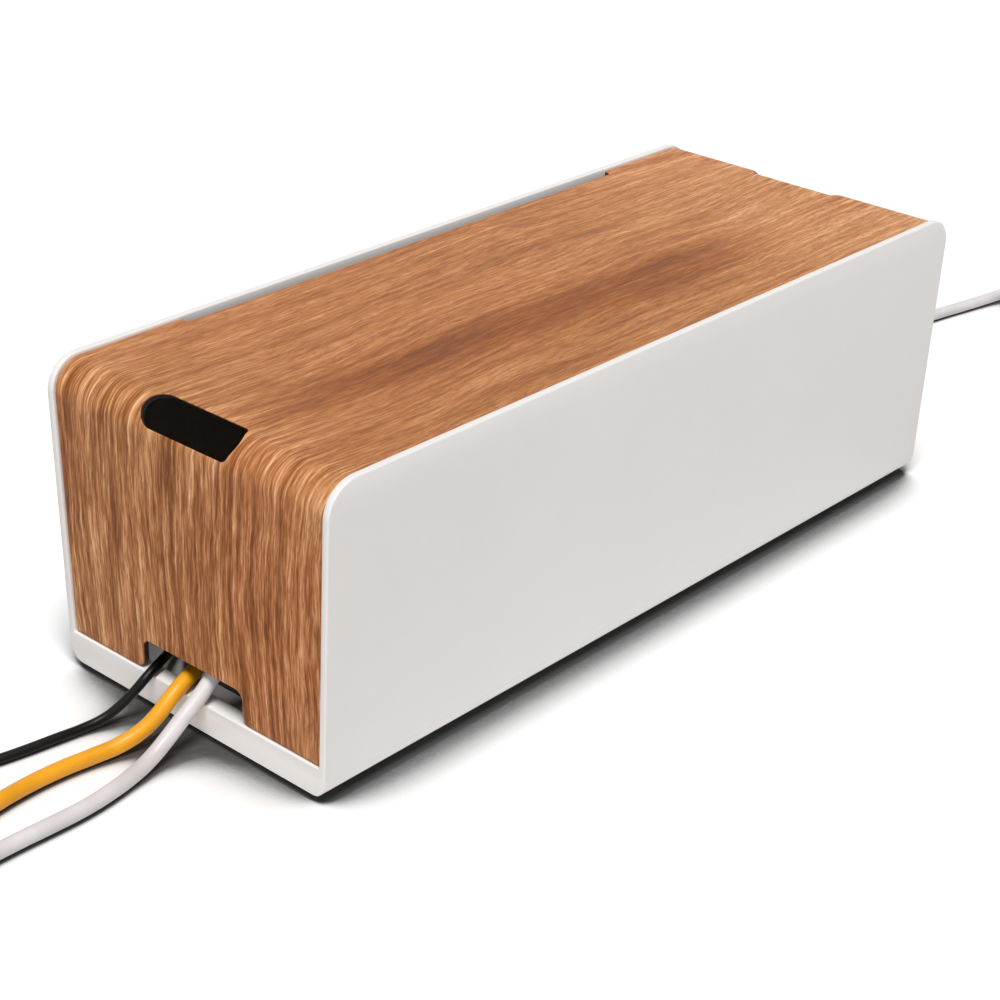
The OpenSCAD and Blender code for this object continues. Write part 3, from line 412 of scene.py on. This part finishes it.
def build_lid():
    """The bent sheet with its slots, notches, cut-out and ribs: wood outside, and inside a dark
    lining whose colour is painted shade for the box's interior.
    """
    sheet = Sheet()
    outline = refine(lid_outline(), step=8)
    profile = edge_profile(round_top=0.55, round_bottom=0.3)
    rows = []
    for gap, depth, share, lift in profile:
        moved, outward = inset(outline, gap)
        rows.append([(p.x, p.y, depth,
                      along(p.x) * (side.x * share) + Vector((0, side.y * share, 0))
                      + bend(p.x, 0, 0)[1] * lift)
                     for p, side in zip(moved, outward)])
    sheet.strip(rows[:5], 0)
    sheet.strip(rows[4:], 1)
    outer_holes, inner_holes = [], []
    for side in (-1, 1):
        shape = slot_outline()
        if side < 0:
            shape = [(-u, y) for u, y in reversed(shape)]
        across = Vector((math.cos(SLOT_LEAN), 0, -side * math.sin(SLOT_LEAN)))
        rings = []
        for gap, depth, share, lift in profile:
            moved, away = inset(shape, gap)
            ring = []
            for p, way in zip(moved, away):
                turn = SLOT_LEAN + math.asin(side * p.x / (LID_RADIUS - depth))
                s = side * (LID_FLAT + LID_RADIUS * turn)
                normal = across * (way.x * share) + Vector((0, way.y * share, 0))
                ring.append((s, p.y, depth, normal + bend(s, 0, 0)[1] * lift))
            rings.append(ring)
        sheet.strip(rings[:5], 0)
        sheet.strip(rings[4:], 1)
        outer_holes.append([place[:2] for place in rings[0]])
        inner_holes.append([place[:2] for place in rings[-1]])
    sheet.skin([p[:2] for p in rows[0]], outer_holes, 0, False, 0)
    sheet.skin([p[:2] for p in rows[-1]], inner_holes, LID_WALL, True, 1)
    flange(sheet, -LID_HALF, 1, -LID_REACH, LID_REACH)
    flange(sheet, LID_HALF, -1, -LID_REACH, -CUT_HALF)
    flange(sheet, LID_HALF, -1, CUT_HALF, LID_REACH)
    mesh = bpy.data.meshes.new("lid_sheet")
    mesh.from_pydata(sheet.points, [], sheet.faces)
    grain = mesh.uv_layers.new(name="grain")
    for loop in mesh.loops:
        grain.data[loop.index].uv = sheet.places[loop.vertex_index]
    mesh.polygons.foreach_set("use_smooth", [True] * len(sheet.faces))
    mesh.polygons.foreach_set("material_index", sheet.finish)
    mesh.normals_split_custom_set([sheet.normals[loop.vertex_index].normalized()
                                   for loop in mesh.loops])
    piece = bpy.data.objects.new("lid_sheet", mesh)
    scene.collection.objects.link(piece)
    return piece


# ---------------------------------------------------------------- materials
def tone(red, green, blue):
    """A colour written as 0 to 255 on screen, as Blender's own numbers."""
    values = [c / 255 for c in (red, green, blue)]
    return tuple(v / 12.92 if v < 0.04045 else ((v + 0.055) / 1.055) ** 2.4 for v in values) + (1,)


class Look:
    """One procedural material and short ways to add its nodes."""

    def __init__(self, name):
        self.material = bpy.data.materials.new(name)
        self.material.use_nodes = True
        self.tree = self.material.node_tree
        self.shader = self.tree.nodes["Principled BSDF"]

    def node(self, kind, inputs=(), **settings):
        """A new node with its settings, and values or links for its inputs."""
        made = self.tree.nodes.new(kind)
        for key, value in settings.items():
            setattr(made, key, value)
        for key, value in dict(inputs).items():
            self.put(made.inputs[key], value)
        return made

    def put(self, socket, value):
        """Links a socket to another one, or sets its value."""
        if isinstance(value, bpy.types.NodeSocket):
            self.tree.links.new(value, socket)
        else:
            socket.default_value = value

    def maths(self, operation, one, two=0.0, three=0.0):
        made = self.node("ShaderNodeMath", operation=operation)
        for socket, value in zip(made.inputs, (one, two, three)):
            self.put(socket, value)
        return made.outputs[0]

    def noise(self, place, scale, detail=2.0, roughness=0.5, distortion=0.0):
        return self.node("ShaderNodeTexNoise", {
            "Vector": place, "Scale": scale, "Detail": detail, "Roughness": roughness,
            "Distortion": distortion}).outputs["Fac"]

    def spread(self, value, low, high, to_low, to_high):
        """Maps a value smoothly from one range to another."""
        made = self.node("ShaderNodeMapRange", {
            "Value": value, "From Min": low, "From Max": high, "To Min": to_low,
            "To Max": to_high}, interpolation_type="SMOOTHSTEP")
        return made.outputs["Result"]

    def ramp(self, value, stops):
        """A colour ramp with its (place, colour) stops."""
        made = self.node("ShaderNodeValToRGB", {"Fac": value})
        band = made.color_ramp
        while len(band.elements) < len(stops):
            band.elements.new(0.5)
        for element, (place, colour) in zip(band.elements, stops):
            element.position = place
            element.color = colour
        return made.outputs["Color"]

    def blend(self, share, one, two, blend_type="MIX"):
        made = self.node("ShaderNodeMix", data_type="RGBA", blend_type=blend_type)
        self.put(made.inputs[0], share)
        self.put(made.inputs[6], one)
        self.put(made.inputs[7], two)
        return made.outputs[2]

    def bump(self, height, strength, distance):
        made = self.node("ShaderNodeBump", {
            "Strength": strength, "Distance": distance, "Height": height})
        self.put(self.shader.inputs["Normal"], made.outputs["Normal"])

    def object_place(self):
        return self.node("ShaderNodeTexCoord").outputs["Object"]


def moulded(name, colour, roughness, grain=900.0, depth=0.00004, uneven=0.035, dust=0.0):
    """Moulded plastic: a fine surface grain, slightly uneven gloss and faint colour drift."""
    look = Look(name)
    place = look.object_place()
    fine = look.noise(place, grain, 2.0, 0.6)
    broad = look.noise(place, 22.0, 3.0, 0.55)
    speck = look.noise(place, grain * 0.35, 1.0, 0.5)
    dark = tuple(c * (1 - uneven) for c in colour[:3]) + (1,)
    light = tuple(min(c * (1 + uneven) + dust, 1) for c in colour[:3]) + (1,)
    drift = look.maths("ADD", look.maths("MULTIPLY", broad, 0.75),
                       look.maths("MULTIPLY", speck, 0.25))
    look.put(look.shader.inputs["Base Color"],
             look.ramp(drift, [(0.3, dark), (0.7, light)]))
    look.put(look.shader.inputs["Roughness"],
             look.spread(broad, 0.3, 0.7, roughness - 0.04, roughness + 0.05))
    look.bump(fine, 0.35, depth)
    return look


def jacket(name, colour, roughness, gloss=0.45):
    """A cord's soft jacket: shallow waves from the wires inside and a fine skin."""
    look = Look(name)
    place = look.object_place()
    skin = look.noise(place, 1500.0, 2.0, 0.6)
    wave = look.noise(place, 70.0, 2.0, 0.5)
    dark = tuple(c * 0.9 for c in colour[:3]) + (1,)
    light = tuple(min(c * 1.06 + 0.003, 1) for c in colour[:3]) + (1,)
    look.put(look.shader.inputs["Base Color"], look.ramp(wave, [(0.3, dark), (0.68, light)]))
    look.put(look.shader.inputs["Roughness"],
             look.spread(wave, 0.3, 0.7, roughness - 0.05, roughness + 0.08))
    height = look.maths("ADD", look.maths("MULTIPLY", wave, 0.8), look.maths("MULTIPLY", skin, 0.2))
    look.bump(height, 0.3, 0.0002)
    look.shader.inputs["Specular IOR Level"].default_value = gloss
    return look


def metal(name, colour, roughness, tarnish):
    """Bare or plated metal: drawn lines, a little tarnish and uneven gloss."""
    look = Look(name)
    place = look.object_place()
    drawn = look.node("ShaderNodeMapping", {"Vector": place, "Scale": (60.0, 900.0, 900.0)})
    lines = look.noise(drawn.outputs["Vector"], 1.0, 3.0, 0.6)
    cloud = look.noise(place, 160.0, 3.0, 0.6)
    look.put(look.shader.inputs["Base Color"], look.ramp(cloud, [(0.32, tarnish), (0.6, colour)]))
    look.put(look.shader.inputs["Roughness"],
             look.spread(lines, 0.3, 0.7, roughness - 0.06, roughness + 0.1))
    look.shader.inputs["Metallic"].default_value = 1.0
    look.bump(lines, 0.2, 0.00002)
    return look


def wood():
    """Straight-grained foil: fibres run along the unrolled sheet, round the bends too."""
    look = Look("wood_foil")
    grain = look.node("ShaderNodeUVMap", uv_map="grain").outputs["UV"]
    split = look.node("ShaderNodeSeparateXYZ", {"Vector": grain})
    s, y = split.outputs["X"], split.outputs["Y"]

    def fibre(across, per_s, per_y, seed, detail=2.0, roughness=0.55):
        place = look.node("ShaderNodeCombineXYZ", {
            "X": look.maths("MULTIPLY", s, per_s), "Y": look.maths("MULTIPLY", across, per_y),
            "Z": seed})
        return look.noise(place.outputs["Vector"], 1.0, detail, roughness)

    # Slow waves in the fibres' course, from broad to fine
    sway = look.maths("SUBTRACT", fibre(y, 5.0, 10.0, 1.7, 1.0), 0.5)
    ripple = look.maths("SUBTRACT", fibre(y, 42.0, 60.0, 5.1, 1.0), 0.5)
    tremble = look.maths("SUBTRACT", fibre(y, 190.0, 260.0, 6.6, 1.0), 0.5)
    across = look.maths("MULTIPLY_ADD", sway, 0.030, y)
    across = look.maths("MULTIPLY_ADD", ripple, 0.0024, across)
    across = look.maths("MULTIPLY_ADD", tremble, 0.0007, across)

    # Layers of fibre, each with its share in how light the wood is
    broad = fibre(across, 4.0, 40.0, 2.3)
    band = fibre(across, 9.0, 170.0, 9.4)
    line = fibre(across, 24.0, 480.0, 4.6)
    thread = fibre(across, 100.0, 1100.0, 7.9)
    flow = look.maths("MULTIPLY_ADD", broad, 0.22, -0.11)
    flow = look.maths("MULTIPLY_ADD", band, 0.34, look.maths("SUBTRACT", flow, 0.17))
    flow = look.maths("MULTIPLY_ADD", line, 0.78, look.maths("SUBTRACT", flow, 0.39))
    flow = look.maths("MULTIPLY_ADD", thread, 0.62, look.maths("SUBTRACT", flow, 0.31))

    # Softer contrast on the top than round the bends and on the ends
    off_centre = look.maths("ABSOLUTE", s)
    depth = look.spread(off_centre, 0.165, 0.205, 0.62, 1.12)
    flow = look.maths("MULTIPLY_ADD", flow, depth, 0.5)

    # A darker band along the top, to one side of its middle
    band_y, band_slope, band_s = 0.027, 0.05, 0.03
    off_band = look.maths("ABSOLUTE", look.maths(
        "MULTIPLY_ADD", s, band_slope, look.maths("ADD", y, band_y)))
    along_band = look.maths("ABSOLUTE", look.maths("ADD", s, band_s))
    inside_band = look.maths("MULTIPLY", look.spread(off_band, 0.004, 0.026, 1.0, 0.0),
                             look.spread(along_band, 0.07, 0.17, 0.18, 0.0))
    flow = look.maths("SUBTRACT", flow, inside_band)

    # A painted highlight along the crest of the bends, painted shade down the ends, and lighter
    # towards the far end
    highlight_crest_s = 0.194
    off_highlight_crest = look.maths("ABSOLUTE", look.maths("SUBTRACT", off_centre, highlight_crest_s))
    # Painted highlight: lighter along the crest of each bend
    flow = look.maths("ADD", flow, look.spread(off_highlight_crest, 0.003, 0.018, 0.02, 0.0))
    # Painted shade: darker where the sheet turns down onto the ends
    flow = look.maths("SUBTRACT", flow, look.spread(off_centre, 0.198, 0.215, 0.0, 0.045))
    flow = look.maths("ADD", flow, look.spread(s, 0.06, 0.15, 0.0, 0.07))
    colour = look.ramp(flow, [
        (0.22, tone(114, 60, 22)), (0.38, tone(147, 90, 46)), (0.5, tone(177, 117, 71)),
        (0.62, tone(202, 146, 99)), (0.78, tone(238, 188, 142))])
    pore = fibre(across, 210.0, 1300.0, 3.3, 1.0)
    pores = look.spread(pore, 0.56, 0.68, 0.0, 1.0)
    colour = look.blend(look.maths("MULTIPLY", pores, 0.38), colour, tone(112, 62, 30))
    hue = look.spread(fibre(y, 2.4, 9.0, 8.2, 1.0), 0.42, 0.62, 0.0, 0.5)
    colour = look.blend(hue, colour, look.blend(1.0, colour, tone(255, 240, 236), "MULTIPLY"))
    look.put(look.shader.inputs["Base Color"], colour)
    look.put(look.shader.inputs["Roughness"], look.spread(line, 0.3, 0.7, 0.50, 0.62))
    look.shader.inputs["Specular IOR Level"].default_value = 0.2
    height = look.maths("SUBTRACT", look.maths("MULTIPLY", line, 0.6),
                        look.maths("MULTIPLY", pores, 0.5))
    look.bump(height, 0.25, 0.0001)
    return look


LOOKS = {
    "box_white": moulded("box_white", tone(229, 226, 223), 0.34, 700.0, 0.00002, 0.012),
    "wood_lid": wood(),
    "foot_rubber": moulded("foot_rubber", tone(58, 58, 60), 0.78, 500.0, 0.00012, 0.12, 0.01),
    "strip_grey": moulded("strip_grey", tone(76, 78, 82), 0.5, 800.0, 0.00008, 0.08, 0.004),
    "socket_black": moulded("socket_black", tone(34, 34, 36), 0.42, 900.0, 0.00004, 0.1, 0.003),
    "brass_parts": metal("brass_parts", tone(214, 182, 110), 0.34, tone(176, 138, 74)),
    "screw_steel": metal("screw_steel", tone(188, 188, 190), 0.36, tone(150, 150, 154)),
    "rocker_red": moulded("rocker_red", tone(176, 26, 20), 0.22, 600.0, 0.00002, 0.06, 0.004),
    "white_flex": jacket("white_flex", tone(208, 204, 204), 0.42),
    "yellow_flex": jacket("yellow_flex", tone(229, 158, 14), 0.4),
    "black_flex": jacket("black_flex", tone(5, 5, 6), 0.38, 0.16),
    "wire_brown": jacket("wire_brown", tone(104, 62, 40), 0.4),
    "wire_blue": jacket("wire_blue", tone(48, 92, 176), 0.4),
    "wire_green": jacket("wire_green", tone(122, 160, 52), 0.4),
    "pin_metal": metal("pin_metal", tone(206, 206, 208), 0.2, tone(172, 172, 176)),
    "adaptor_black": moulded("adaptor_black", tone(38, 38, 41), 0.46, 650.0, 0.0001, 0.08, 0.004),
}
# The lid's inside, the inner halves of its edges and its ribs are dark brown as painted shade, for
# the dim interior seen through the slots and notches
SHADE_LINING = moulded("lid_lining_painted_shade", tone(44, 33, 36), 0.6, 600.0, 0.00006, 0.08, 0.003)
TIE = jacket("tie_black", tone(30, 30, 32), 0.55)
SLOTS = {part["node"]: part["material_slot"] for part in frame["record"]["subparts"]}
BODIES = {node: body for body, nodes in frame["record"]["behaviour"]["bodies"].items()
          for node in nodes}


def dress(piece, slot, body, *nodes):
    """Gives a new piece its material and its body, and hides the nodes that it stands for."""
    if not piece.data.materials:
        piece.data.materials.append(LOOKS[slot].material)
    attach(piece, body)
    if nodes:
        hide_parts(*nodes)
    return piece


def soften(node, width, cuts=(), segments=3, angle=35):
    """A node's own shape with its edges rounded.

    The cuts are levels of x where long faces are parted first, so that parts of them without
    any width fall away.
    """
    mesh = frame["nodes"][node].data.copy()
    mesh.name = node + "_rounded"
    mesh.materials.clear()
    piece = bpy.data.objects.new(node + "_rounded", mesh)
    scene.collection.objects.link(piece)
    shape = bmesh.new()
    shape.from_mesh(mesh)
    for x in cuts:
        bmesh.ops.bisect_plane(shape, geom=shape.verts[:] + shape.edges[:] + shape.faces[:],
                               dist=1e-6, plane_co=(x * MM, 0, 0), plane_no=(1, 0, 0))
    bmesh.ops.remove_doubles(shape, verts=shape.verts, dist=2e-6)
    bmesh.ops.dissolve_limit(shape, angle_limit=math.radians(1), verts=shape.verts,
                             edges=shape.edges)
    for face in shape.faces:
        face.smooth = True
    shape.to_mesh(mesh)
    shape.free()
    bevel = piece.modifiers.new("rounded", "BEVEL")
    bevel.width = width * MM
    bevel.segments = segments
    bevel.limit_method = "ANGLE"
    bevel.angle_limit = math.radians(angle)
    bevel.harden_normals = True
    bevel.use_clamp_overlap = True
    return dress(piece, SLOTS[node], BODIES[node], node)


# ---------------------------------------------------------------- pieces
lid = build_lid()
lid.data.materials.append(LOOKS["wood_lid"].material)
lid.data.materials.append(SHADE_LINING.material)
dress(lid, "wood_lid", "lid", "lid")

# Nodes whose own shape is kept, with the width of their rounded edges in millimetres
ROUNDED = {
    "strip_base": 0.8, "strip_cover": 0.8, "switch_frame": 0.4,
    "switch_rocker": 0.4, "mains_relief": 0.3, "white_plug": 0.8, "yellow_plug": 0.8,
    "adaptor": 0.9, "black_connector": 0.5, "yellow_connector": 0.7, "white_connector": 0.7,
    "mains_plug": 0.8,
}
ROUNDED.update({"foot_%d" % i: 0.5 for i in range(1, 5)})
ROUNDED.update({"socket_%d" % i: 0.35 for i in range(1, 6)})
for name, width in ROUNDED.items():
    soften(name, width)
soften("base_shell", 0.7, (-LEDGE_START, LEDGE_START))

dress(black, "black_flex", "base", "black_cord", "black_coil")
dress(yellow, "yellow_flex", "base", "yellow_cord", "yellow_coil")
dress(white, "white_flex", "base", "white_cord", "white_coil")
dress(mains, "white_flex", "base", "mains_cord", "mains_coil")
for node, piece in frame["nodes"].items():
    if not piece.hide_render:
        piece.data.materials.clear()
        piece.data.materials.append(LOOKS[SLOTS[node]].material)


def tie(name, ring, radius, high, angle):
    """A soft band round a coil's bundle of turns."""
    thick, wide, soft, edge = 0.9, 7.0, 2.2, 0.4
    half = wide / 2
    outline = []
    for sx, sz, start in ((1, 1, 0), (-1, 1, 90), (-1, -1, 180), (1, -1, 270)):
        for k in range(7):
            a = math.radians(start + 15 * k)
            outline.append((sx * (radius - soft), sz * (high / 2 - soft), math.cos(a), math.sin(a)))
    shape = bmesh.new()
    turn = Matrix.Translation(Vector((ring[0], ring[1], high / 2)) * MM) @ Matrix.Rotation(
        math.radians(angle), 4, "Z")
    middle = ring[2]
    rows = []
    for reach, side in ((0.0, -half), (thick, -half + edge), (thick, half - edge), (0.0, half)):
        row = []
        for x, z, c, s in outline:
            r = soft + reach
            low = max(z + r * s, -high / 2)
            row.append(shape.verts.new(turn @ (Vector((middle + x + r * c, side, low)) * MM)))
        rows.append(row)
    for one, two in zip(rows, rows[1:] + rows[:1]):
        for i in range(len(one)):
            j = (i + 1) % len(one)
            shape.faces.new([one[i], two[i], two[j], one[j]])
    bmesh.ops.recalc_face_normals(shape, faces=shape.faces)
    for face in shape.faces:
        face.smooth = True
    mesh = bpy.data.meshes.new(name)
    shape.to_mesh(mesh)
    shape.free()
    piece = bpy.data.objects.new(name, mesh)
    scene.collection.objects.link(piece)
    mesh.materials.append(TIE.material)
    return dress(piece, "black_flex", "base")


black_tie = tie("black_lead_tie", BLACK_RING + (BLACK_COIL,), 6.0, 8.0, -35)
yellow_tie = tie("yellow_lead_tie", YELLOW_RING + (MAINS_CORD_COIL,), 6.5, 13.0, -60)
white_tie = tie("white_lead_tie", WHITE_RING + (MAINS_CORD_COIL,), 6.5, 13.0, 60)
mains_tie = tie("mains_lead_tie", MAINS_RING + (MAINS_CORD_COIL,), 9.0, 12.0, 20)


# ---------------------------------------------------------------- floor and light
def add_floor():
    """A white floor that the camera sees darken close to the object, as a contact shadow."""
    mesh = bpy.data.meshes.new("floor")
    reach = 6.0
    mesh.from_pydata([(-reach, -reach, 0), (reach, -reach, 0), (reach, reach, 0),
                      (-reach, reach, 0)], [], [(0, 1, 2, 3)])
    floor = bpy.data.objects.new("floor", mesh)
    scene.collection.objects.link(floor)
    look = Look("floor")
    open_sky = look.node("ShaderNodeAmbientOcclusion", {"Distance": 0.057}, samples=32)
    shadow = look.ramp(open_sky.outputs["AO"], [
        (level, (grey, grey, grey, 1)) for level, grey in (
            (0.5, 0.06), (0.53, 0.18), (0.6, 0.48), (0.67, 0.73), (0.8, 0.93), (0.9, 1.0))])
    sight = look.node("ShaderNodeLightPath").outputs["Is Camera Ray"]
    look.put(look.shader.inputs["Base Color"],
             look.blend(sight, (0.8, 0.8, 0.8, 1), shadow))
    look.shader.inputs["Roughness"].default_value = 0.9
    look.shader.inputs["Specular IOR Level"].default_value = 0.1
    mesh.materials.append(look.material)


def add_world():
    """Soft fill light on the object, and plain white for the camera and in gloss and glass."""
    fill_light, background = 0.13, 1.0
    world = bpy.data.worlds.new("studio")
    scene.world = world
    world.use_nodes = True
    tree = world.node_tree
    tree.nodes.clear()

    def highest(one, two):
        made = tree.nodes.new("ShaderNodeMath")
        made.operation = "MAXIMUM"
        tree.links.new(one, made.inputs[0])
        tree.links.new(two, made.inputs[1])
        return made.outputs[0]

    def glow(strength):
        made = tree.nodes.new("ShaderNodeBackground")
        made.inputs["Color"].default_value = (1, 1, 1, 1)
        made.inputs["Strength"].default_value = strength
        return made.outputs[0]

    path = tree.nodes.new("ShaderNodeLightPath").outputs
    seen = highest(highest(path["Is Camera Ray"], path["Is Glossy Ray"]),
                   path["Is Transmission Ray"])
    mix = tree.nodes.new("ShaderNodeMixShader")
    out = tree.nodes.new("ShaderNodeOutputWorld")
    for socket, source in zip(mix.inputs, (seen, glow(fill_light), glow(background))):
        tree.links.new(source, socket)
    tree.links.new(mix.outputs[0], out.inputs["Surface"])


def add_sun():
    """A wide light from above the camera's side, which leaves the floor evenly white."""
    data = bpy.data.lights.new("overhead", "SUN")
    data.energy = 3.15
    data.angle = math.radians(24)
    lamp = bpy.data.objects.new("overhead", data)
    lamp.rotation_euler = Vector((0.22, 0.25, -1)).to_track_quat("-Z", "Y").to_euler()
    scene.collection.objects.link(lamp)


def add_softbox(name, place, target, wide, high, power):
    """A wide soft lamp that looks at the target."""
    data = bpy.data.lights.new(name, "AREA")
    data.shape = "RECTANGLE"
    data.size = wide
    data.size_y = high
    data.energy = power
    lamp = bpy.data.objects.new(name, data)
    lamp.location = place
    aim = Vector(target) - Vector(place)
    lamp.rotation_euler = aim.to_track_quat("-Z", "Y").to_euler()
    scene.collection.objects.link(lamp)


add_floor()
add_world()
add_sun()
add_softbox("front_softbox", place=(-3.6, -2.1, 0.6), target=(0, 0, 0.06), wide=2.4, high=0.7,
            power=32)
